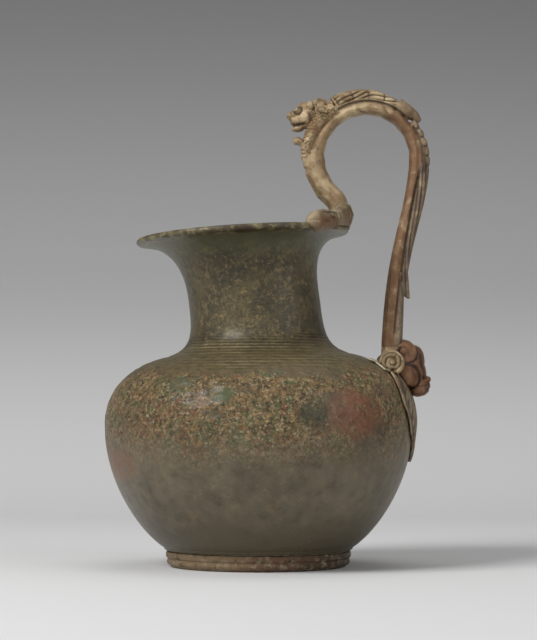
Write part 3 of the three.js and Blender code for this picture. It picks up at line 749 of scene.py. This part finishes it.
class Reading:
    """What the formulas ask of the handle's vertices."""

    def __init__(self, points, normals):
        self.x, self.y, self.z = points.T
        self.side = np.abs(self.y)
        self.facing = normals[:, 0]
        self.flank = smooth_step(np.abs(normals[:, 1]), 0.45, 0.7)
        self.out = np.hypot(self.x - LOOP_X, self.z - LOOP_Z)
        self.turn = np.degrees(np.arctan2(self.z - LOOP_Z, self.x - LOOP_X))
        self.outward = self.x - inner_edge(self.z)


print("the relief starts", round(BAND, 1), "mm from the loop's centre")

# %% [markdown]
# Long locks of the mane lie over the arch. Strands could be modelled one by one, but on a casting they
# are only grooves. They run along the arch with a slight twist and sway, in one set on the flanks and
# one on the top, with a break every few degrees. Behind them lies a leaf with a midrib.
# %% The mane on the arch
ARCH_START, ARCH_END, LEAF_START = 60, 121, 34  # degrees round the loop


def cut_arch(v):
    locks = window(v.turn, ARCH_START, ARCH_END, 1.5) * smooth_step(v.out, BAND + 0.6, BAND + 1.6)
    sway = 0.25 * np.sin(v.turn / 5.0)
    seam = window(v.turn, ARCH_START - 2, ARCH_END + 2, 1.5) * (v.side > 4)
    leaf_seam = window(v.turn, LEAF_START + 2, ARCH_START, 2) * (v.side > 3.5)
    leaf_top = window(v.turn, LEAF_START, ARCH_START - 2, 2) * (v.out > BAND + 2)
    return cuts(
        (-0.75, locks * v.flank, lines((v.out - BAND) / 2.3 + v.turn / 17 + sway, HAIR)),
        (-0.7, locks * (1 - v.flank), lines(v.y / 2.6 + v.turn / 26 + sway, HAIR)),
        (-0.55, locks, lines(v.turn / 15.5 + 0.05 * v.side, 0.06)),
        (-0.75, seam, peak(v.out - BAND + 0.1, 0.5)),
        (-0.6, leaf_seam, peak(v.out - BAND + 0.2, 0.5)),
        (0.3, leaf_top, peak(v.y, 0.8)),
    )


print("the mane covers", ARCH_END - ARCH_START, "degrees of the arch")

# %% [markdown]
# A long leaf runs down the back arm, ribbed along its length, with a row of knobs where it starts, and
# a groove parts it from the arm's smooth inner face. All of them are measured outwards from that face,
# so they follow the arm's bend without a curve to lay them on.
# %% The back arm
ARM_X = 52  # the back arm is all that lies beyond this
RELIEF_EDGE = 5.2  # how far out from the inner side the relief begins


def cut_back(v):
    on_arm = v.x > ARM_X
    leaf = window(v.z, 124, 180, 3) * on_arm
    sway = 0.3 * np.sin(v.z / 7.0)
    seam = window(v.z, 104, 178, 3) * (v.side > 4) * on_arm
    knobs = window(v.z, 176, 200, 1.5) * (v.x > 66) * smooth_step(v.out, BAND - 0.5, BAND + 1)
    edge = window(v.z, 132, 200, 3) * (v.x > 58) * (v.side > 4.3)
    return cuts(
        (-0.6, leaf * v.flank * (v.outward > 5.6), lines(v.outward / 1.9 + v.z / 21 + sway, 0.17)),
        (-0.6, leaf * (1 - v.flank) * (v.facing > 0.3), lines(v.y / 2.5 + v.z / 34 + sway, 0.17)),
        (-0.7, seam, peak(v.outward - RELIEF_EDGE, 0.45)),
        (-0.6, knobs, np.maximum(lines(v.turn / 9.5, VEIN), lines(v.y / 3.9 + 0.5, VEIN))),
        (-0.6, edge * (v.turn > -8), peak(v.out - BAND, 0.45)),
        (-0.3, window(v.z, 100, 124, 3) * on_arm * (v.facing > 0.4), lines(v.y / 3.3, VEIN)),
    )


print("the back arm's inner side at its top, in mm:", round(float(inner_edge(180.0)), 1))

# %% [markdown]
# The lion's head looks down at the pouring side. Its eyes, brows, mouth, nostrils and whiskers are
# measured from the head's middle: forward, up and sideways. These ways nod with the head, so one
# number turns the whole face. The ruff behind it has fine hairs.
# %% The lion's head
HEAD_X, HEAD_Z, HEAD_NOD = 20.17, 202.17, math.radians(8)


def cut_head(v):
    x, z, side = v.x - HEAD_X, v.z - HEAD_Z, v.side
    forward = -x * math.cos(HEAD_NOD) - z * math.sin(HEAD_NOD)
    up = -x * math.sin(HEAD_NOD) + z * math.cos(HEAD_NOD)
    head = (forward > -5) * (v.z > 193.5) * (v.x < 28)
    eye = np.sqrt((forward - 2.1) ** 2 + (side - 3.4) ** 2 + (up - 2.9) ** 2)
    nostril = np.sqrt((forward - 7) ** 2 + (side - 1.1) ** 2 + (up - 0.9) ** 2)
    brow = window(side, 1.5, 4.6, 0.6) * window(forward, 0.6, 4, 0.8)
    lip = (forward > 4.5) * window(up, -3.4, 0.4, 0.3)
    muzzle = window(up, -3.2, -0.4, 0.4) * window(forward, 1.5, 5.4, 0.5)
    cheek = window(up, -3.5, 1.6, 1) * (side > 3)
    chin = window(v.x, 14, 20.5, 0.6) * window(v.z, 187, 193.2, 0.4)
    ruff = window(v.x, 24.6, 31.3, 0.5) * (v.z > 202.5)
    return cuts(
        (0.45, head, peak(eye, 0.9)),
        (-0.75, head, peak(eye - 1.7, 0.55)),
        (0.5, head * brow, peak(up - 4.8, 0.7)),
        (-0.9, head * smooth_step(forward, -1.5, 1), peak(up + 3.6, 0.5)),
        (-0.8, head, peak(nostril, 0.6)),
        (-0.4, head * lip, peak(v.y, 0.35)),
        (-0.3, head * muzzle, lines(forward / 1.15, 0.2)),
        (-0.5, head * cheek, peak(forward + 3.4, 1.0)),
        (0.8, side < 5, chin),
        (-0.5, ruff, lines(v.y / 1.55, 0.17)),
    )


print("the head's middle, in mm:", HEAD_X, HEAD_Z)

# %% [markdown]
# At the foot of the handle a short bar ends in a scroll on each side. A spiral is a line whose distance
# from the centre grows with the angle, so one formula cuts both, and beads part the bar between them.
# %% The scrolls, and the handle's cuts together
SCROLL_X, SCROLL_Z = 59.05, 90.75


def cut_scrolls(v):
    low = v.z < 100
    out = np.hypot(v.x - SCROLL_X, v.z - SCROLL_Z)
    spiral = np.arctan2(v.z - SCROLL_Z, v.x - SCROLL_X) / (2 * np.pi)
    end = (v.side > 15.2) * low * window(out, 0.9, 5.0, 0.3)
    bar = (v.side > 6.5) * (v.side < 15) * low
    return cuts((-0.7, end, lines(out / 1.9 - spiral, 0.15)), (-0.3, bar, lines(v.side / 2.7, VEIN)))


def cut_handle(points, normals):
    v = Reading(points, normals)
    return cut_arch(v) + cut_back(v) + cut_head(v) + cut_scrolls(v)


print("the scrolls' centre, in mm:", SCROLL_X, SCROLL_Z)

# %% [markdown]
# The inner side of the back arm and loop has a brown stain, the outer side a grey one. The lion's cheek
# gets the brown mark too, as painted shade in its recess, darker and browner. A painted mask would need
# a UV map on a skin that has none. So each mark is a share from 0 to 1, worked out and stored at the
# vertices, which the finish reads by its name.
# %% Stains and painted shade on the handle


def handle_stains_and_shade(points):
    x, y, z = points.T
    outward = x - inner_edge(z)
    turn = np.degrees(np.arctan2(z - LOOP_Z, x - LOOP_X))
    out = np.hypot(x - LOOP_X, z - LOOP_Z)
    arm = (x > ARM_X) * (z > 98) * (1 - smooth_step(z, 176, 186))
    loop = window(turn, -12, 62, 5) * (out < 32) * (z > 176)
    inside = arm * (outward < RELIEF_EDGE) + loop * (out < BAND)
    # painted shade: the cheek's recess is darkened with the brown mark
    cheek = window(x, 22.5, 26.5, 1) * window(z, 195, 203, 1.5) * (np.abs(y) > 3)
    grey = arm * (outward >= RELIEF_EDGE) + 0.5 * loop * (out >= BAND)
    return {"brown": np.clip(inside + cheek, 0, 1), "grey": np.clip(grey, 0, 1)}


print("stains: brown and grey")

# %% [markdown]
# Casting in metal joins all forms of the wax into one skin, and so does this. Copies of the drawn forms
# are swollen until their small gaps close, joined, and remeshed to one skin of voxels, which is smoothed
# and then cut. A Boolean union would keep hard creases where the forms meet. No vertex may leave the
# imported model's box.
# %% Casting
SWELL = 0.15
VOXEL = 0.36
COPY_WELD = 1e-6  # metres; a imported node's mesh is loose triangles
# painted shade: the hollow mark darkens a cut by this much for each millimetre of its depth
HOLLOWNESS = 1.8  # how dark a cut is for each millimetre of its depth


def finished_mesh(holder):
    """The plain mesh that an object's modifiers make. The object is removed."""
    graph = bpy.context.evaluated_depsgraph_get()
    mesh = bpy.data.meshes.new_from_object(holder.evaluated_get(graph))
    bpy.data.objects.remove(holder)
    return mesh


def swollen_copies(name, nodes):
    joined = bmesh.new()
    for node in nodes:
        part = bmesh.new()
        part.from_mesh(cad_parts[node].data)
        bmesh.ops.remove_doubles(part, verts=part.verts, dist=COPY_WELD)
        part.normal_update()
        for vertex in part.verts:
            vertex.co += vertex.normal * SWELL * MM
        copy = bpy.data.meshes.new(node + "_copy")
        part.to_mesh(copy)
        part.free()
        joined.from_mesh(copy)
        bpy.data.meshes.remove(copy)
    mesh = bpy.data.meshes.new(name + "_forms")
    joined.to_mesh(mesh)
    joined.free()
    return mesh


def one_skin(name, nodes, rounds):
    rough = placed(name + "_rough", swollen_copies(name, nodes))
    remesh = rough.modifiers.new("one_skin", "REMESH")
    remesh.mode = "VOXEL"
    remesh.voxel_size = VOXEL * MM
    soften = rough.modifiers.new("soften", "SMOOTH")
    soften.factor = 0.5
    soften.iterations = rounds
    return finished_mesh(rough)


def cast(name, nodes, cut, stains_and_shade=None, rounds=8):
    """One skin over swollen copies of these nodes, smoothed, then cut by a formula."""
    skin = one_skin(name, nodes, rounds)
    skin.name = name
    points, normals = np.zeros(len(skin.vertices) * 3), np.zeros(len(skin.vertices) * 3)
    skin.vertices.foreach_get("co", points)
    skin.vertices.foreach_get("normal", normals)
    points, normals = points.reshape(-1, 3) / MM, normals.reshape(-1, 3)
    depth = cut(points, normals)
    points = np.clip(points + normals * depth[:, None], LOW, HIGH)
    skin.vertices.foreach_set("co", (points * MM).ravel())
    marks = {"hollow": np.clip(-depth * HOLLOWNESS, 0, 1)} | (stains_and_shade(points) if stains_and_shade else {})
    for mark, values in marks.items():
        layer = skin.attributes.new(mark, "FLOAT", "POINT")
        layer.data.foreach_set("value", values.astype(np.float32))
    skin.update()
    skin.shade_smooth()
    return placed(name, skin)


HANDLE_NODES = (
    "handle_bar", "lion_head", "lion_ruff", "neck_mane", "chin_leaf",
    "arch_mane", "arch_leaf", "back_leaf", "scroll_near", "scroll_far",
)
dress(
    cast("handle", HANDLE_NODES, cut_handle, handle_stains_and_shade),
    CREAM_FINISH, "handle_bronze", *HANDLE_NODES,
)

# %% [markdown]
# Two arms clasp the lip, and each ends in a bird's head. A bead rings the collar, a groove parts the
# beak, and the eye is a ball in a ring. The arms follow the lip, so their cuts are measured in degrees
# round the mouth. Reddish ovals mark the bird's cheek and the shoulder behind the collar.
# %% The arms on the lip


def round_mouth(x, y):
    """Degrees round the mouth from the handle's side, the same on both sides."""
    return np.degrees(np.arctan2(np.abs(y), x + MOUTH_OFFSET))


def cut_arm(points, _normals):
    x, y, z = points.T
    around = round_mouth(x, y)
    eye = np.sqrt((x - 32.4) ** 2 + (np.abs(y) - 29) ** 2 + (z - 155.2) ** 2)
    return cuts(
        (0.45, 1, peak(around - 30, 0.8)),
        (-0.45, 1, peak(around - 28, 0.6)),
        (-0.45, 1, peak(around - 32, 0.6)),
        (0.5, 1, peak(eye, 0.9)),
        (-0.6, 1, peak(eye - 1.7, 0.5)),
        (0.7, 1, smooth_step(around, 42, 49)),
        (-0.7, window(around, 33, 48, 2), peak(z - 155.4 - 0.02 * x, 0.5)),
        (-0.5, 1, peak(around - 14, 0.9)),
        (-0.4, around > 40, peak(z - 151.2 - 0.02 * x, 0.4)),
    )


def arm_stains(points):
    x, y, z = points.T
    around = round_mouth(x, y)
    height = z - 148.5 - LIP_SLOPE * x
    cheek = peak(around - 41, 8) * peak(height - 1.4, 2.6)
    shoulder = peak(around - 14, 9) * peak(height - 4, 3.6)
    ridge = peak(around - 38, 9) * peak(height - 4.6, 0.6)
    return {"brown": np.clip(2 * cheek + 1.4 * shoulder, 0, 1), "grey": 0.5 * ridge}


for side in ("near", "far"):
    node = "rim_arm_" + side
    arm = cast("arm_" + side, [node], cut_arm, arm_stains, rounds=16)
    dress(arm, ARM_FINISH, "arm_bronze", node)

# %% [markdown]
# The handle ends in a lion's paw. It could be modelled toe by toe, but a drawn paw is there already,
# so it is only cut. Three grooves part four toes, a crease crosses them at their joints, and curved
# folds lie on its sides. Its patina is a smooth chestnut.
# %% The paw


def cut_paw(points, _normals):
    x, y, z = points.T
    side = np.abs(y)
    between_toes = peak(y, 0.5) + peak(side - 4.5, 0.5)
    return cuts(
        (-0.95, smooth_step(x, 66, 69) * window(z, 75.5, 95, 2), between_toes),
        (-0.35, x > 70, peak(z - 83.2 + 0.05 * y**2, 0.6)),
        (-0.8, (side > 4.6) * (x > 63), peak(np.hypot(x - 66.4, z - 84.6) - 5.6, 0.55)),
        (-0.7, (side > 3.5) * (z < 98), peak(np.hypot(x - 67, z - 95.4) - 4.6, 0.5)),
        (-0.3, window(z, 93, 101, 1), lines(y / 1.9, HAIR)),
        (-0.3, x > 74, peak(z - 79, 0.5)),
    )


dress(cast("paw", ["lion_paw"], cut_paw), PAW_FINISH, "paw_bronze", "lion_paw")

# %% [markdown]
# Below the paw a leaf-shaped plate is soldered to the shoulder. Its ribs fan out from the top and ripple
# a little, and a groove follows its edge, which the drawing gives as shares of its length and width.
# %% The leaf plate
PLATE_TOP, PLATE_TIP, PLATE_HALF = 85.0, 46.8, 22.0
LEAF_EDGE = ((0, 0.72), (0.18, 0.95), (0.34, 1), (0.5, 0.84), (0.62, 0.72), (0.85, 0.3), (1, 0.03))


def cut_leaf(points, normals):
    x, y, z = points.T
    share = (PLATE_TOP - z) / (PLATE_TOP - PLATE_TIP)
    outline = np.interp(share, *zip(*LEAF_EDGE))
    across = np.degrees(np.arctan2(np.abs(y), x)) / (outline * PLATE_HALF)
    fan = np.degrees(np.arctan2(np.abs(y), PLATE_TOP + 6 - z))
    ripple = 0.35 * np.sin(z / 3.1) * across
    faced = smooth_step(normals[:, 0], 0.1, 0.4)
    return cuts(
        (-0.8, faced * (across < 0.84), lines(fan / 8.5 + 0.5 + ripple, 0.15)),
        (-0.6, faced, peak(across - 0.88, 0.05)),
    )


dress(cast("leaf", ["leaf_plate"], cut_leaf), LEAF_FINISH, "plate_bronze", "leaf_plate")

# %% [markdown]
# The mane on the neck is a band of small round granules. Placing them one by one would take a list of
# some two hundred points, so a node tree strews them over the band. Their least distance makes them
# pack closely, and a fixed seed keeps them where they are.
# %% The node tree of the granules
MOST_IN_A_SQUARE_METRE = 4e6
SMALLEST, LARGEST = 0.8, 1.15  # sizes, as shares of the given one
RANDOM_LOW, RANDOM_HIGH, RANDOM_NUMBER = 2, 3, 1  # the sockets of Random Value that carry one number


def granule_tree(material):
    tree = bpy.data.node_groups.new("granules", "GeometryNodeTree")
    inputs = {}
    for name, kind in (("Band", "Geometry"), ("Spacing", "Float"), ("Size", "Float"), ("Seed", "Int")):
        socket = tree.interface.new_socket(name, in_out="INPUT", socket_type="NodeSocket" + kind)
        inputs[name] = socket.identifier
    tree.interface.new_socket("Granules", in_out="OUTPUT", socket_type="NodeSocketGeometry")
    given = tree.nodes.new("NodeGroupInput").outputs
    end = tree.nodes.new("NodeGroupOutput")

    def step(kind, settings, sockets):
        node = tree.nodes.new(kind)
        for name, value in settings.items():
            setattr(node, name, value)
        for key, value in sockets.items():
            if isinstance(value, bpy.types.NodeSocket):
                tree.links.new(value, node.inputs[key])
            else:
                node.inputs[key].default_value = value
        return node.outputs

    strewn = step("GeometryNodeDistributePointsOnFaces", {"distribute_method": "POISSON"}, {
        "Mesh": given["Band"], "Distance Min": given["Spacing"],
        "Density Max": MOST_IN_A_SQUARE_METRE, "Seed": given["Seed"],
    })
    ball = step("GeometryNodeMeshIcoSphere", {}, {"Radius": given["Size"], "Subdivisions": 2})
    sizes = step("FunctionNodeRandomValue", {"data_type": "FLOAT"}, {
        RANDOM_LOW: SMALLEST, RANDOM_HIGH: LARGEST, "Seed": given["Seed"],
    })
    copies = step("GeometryNodeInstanceOnPoints", {}, {
        "Points": strewn["Points"], "Instance": ball["Mesh"], "Scale": sizes[RANDOM_NUMBER],
    })
    real = step("GeometryNodeRealizeInstances", {}, {"Geometry": copies["Instances"]})
    painted = step("GeometryNodeSetMaterial", {}, {"Geometry": real["Geometry"], "Material": material})
    tree.links.new(painted["Geometry"], end.inputs["Granules"])
    print("granule tree:", len(tree.nodes), "nodes")
    return tree, inputs


GRANULE_TREE, GRANULE_INPUTS = granule_tree(CREAM_FINISH)

# %% [markdown]
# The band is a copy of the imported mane, without its foot and without the side that lies on the bar.
# The tree's inputs are set by their identifiers before the object is evaluated, and the result is
# a plain mesh with no modifier.
# %% The granules of the mane
SPACING, RADIUS, SEED = 1.25, 0.7, 4
FACING_BAR = 0.35  # a face whose normal points further along x than this lies on the bar
BAND_FOOT = 0.183  # height in metres below which no granules lie


def granules():
    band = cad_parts["neck_mane"].data.copy()
    work = bmesh.new()
    work.from_mesh(band)
    bmesh.ops.remove_doubles(work, verts=work.verts, dist=COPY_WELD)
    hidden = [f for f in work.faces if f.normal.x > FACING_BAR or f.calc_center_median().z < BAND_FOOT]
    bmesh.ops.delete(work, geom=hidden, context="FACES")
    work.to_mesh(band)
    work.free()
    holder = placed("granule_band", band)
    grow = holder.modifiers.new("granules", "NODES")
    grow.node_group = GRANULE_TREE
    for name, value in (("Spacing", SPACING * MM), ("Size", RADIUS * MM), ("Seed", SEED)):
        grow[GRANULE_INPUTS[name]] = value
    mesh = finished_mesh(holder)
    mesh.shade_smooth()
    return placed("granules", mesh)


dress(granules(), CREAM_FINISH, "handle_bronze")

# %% [markdown]
# The jug stands on a paper sweep: a floor that bends up into the backdrop, so that no edge shows behind
# it. The paper's colour is pale in front and darkens with height, painted shade in place of the light's
# fall-off, which keeps the lamps plain.
# %% The paper sweep
FRONT, BEND, BEND_RADIUS, BEND_STEPS = -2.5, 0.45, 0.5, 12  # metres
SWEEP_TOP, SWEEP_HALF = 3.0, 4.0
PALE, GREY, DARK = (linear(level, level, level) for level in (212, 168, 110))


def sweep():
    line = [(FRONT, 0.0), (BEND, 0.0)]
    for i in range(1, BEND_STEPS + 1):
        turn = math.radians(90 / BEND_STEPS * i)
        line.append((BEND + BEND_RADIUS * math.sin(turn), BEND_RADIUS - BEND_RADIUS * math.cos(turn)))
    line.append((BEND + BEND_RADIUS, SWEEP_TOP))
    points = [(x, y, z) for y, z in line for x in (-SWEEP_HALF, SWEEP_HALF)]
    faces = [(2 * i, 2 * i + 1, 2 * i + 3, 2 * i + 2) for i in range(len(line) - 1)]
    mesh = bpy.data.meshes.new("sweep")
    mesh.from_pydata(points, [], faces)
    mesh.shade_smooth()
    f = Finish("paper")
    # painted shade: the paper's colour goes from pale to grey to dark with height
    colour = f.mix(f.z.ramp(0.0, 0.2), PALE, GREY)
    colour = f.mix(f.z.ramp(0.1, 0.55), colour, DARK)
    mesh.materials.append(f.done(colour, 0.9, 0.0))
    print("sweep:", len(faces), "faces")
    return placed("sweep", mesh)


sweep()

# %% [markdown]
# Soft light comes from the upper left, a weaker fill from the right and a weak lamp from above, with a
# little light from all round. Large lamps close by make the soft shadow of a studio.
# %% Lights
LIT_PLACE = Vector((0, 0, 0.1))
AMBIENT = 0.24
LAMPS = (
    ("key", (-0.8, -0.7, 0.95), 0.6, 16.5),
    ("fill", (1.0, -0.7, 0.5), 0.9, 4.4),
    ("top", (0.1, 0.2, 1.4), 0.9, 4.4),
)

for name, place, size, watts in LAMPS:
    lamp = bpy.data.lights.new(name, "AREA")
    lamp.size = size
    lamp.energy = watts
    stand = placed(name, lamp)
    stand.location = place
    stand.rotation_euler = (LIT_PLACE - Vector(place)).to_track_quat("-Z", "Y").to_euler()

world = bpy.data.worlds.new("studio")
world.use_nodes = True
ambient = world.node_tree.nodes["Background"].inputs
ambient["Color"].default_value = (1, 1, 1, 1)
ambient["Strength"].default_value = AMBIENT
bpy.context.scene.world = world
bpy.context.scene.view_settings.view_transform = "Standard"
print("lamps:", len(LAMPS), "watts in all:", round(sum(lamp[3] for lamp in LAMPS), 1))

# %% [markdown]
# The camera stands level with the belly and looks up a little. A lens could be widened and brought
# closer for the same frame, but the jug would bulge, so it is a long one, as in the picture.
# %% The camera
camera_data = bpy.data.cameras.new("camera")
camera_data.lens = 112.5
camera_data.sensor_width = 36
camera = placed("camera", camera_data)
camera.location = (0.0045, -0.9, 0.065)
camera.rotation_euler = (math.radians(92.88), 0, 0)
bpy.context.scene.camera = camera
print("camera in mm:", [round(value * PER_METRE, 1) for value in camera.location])
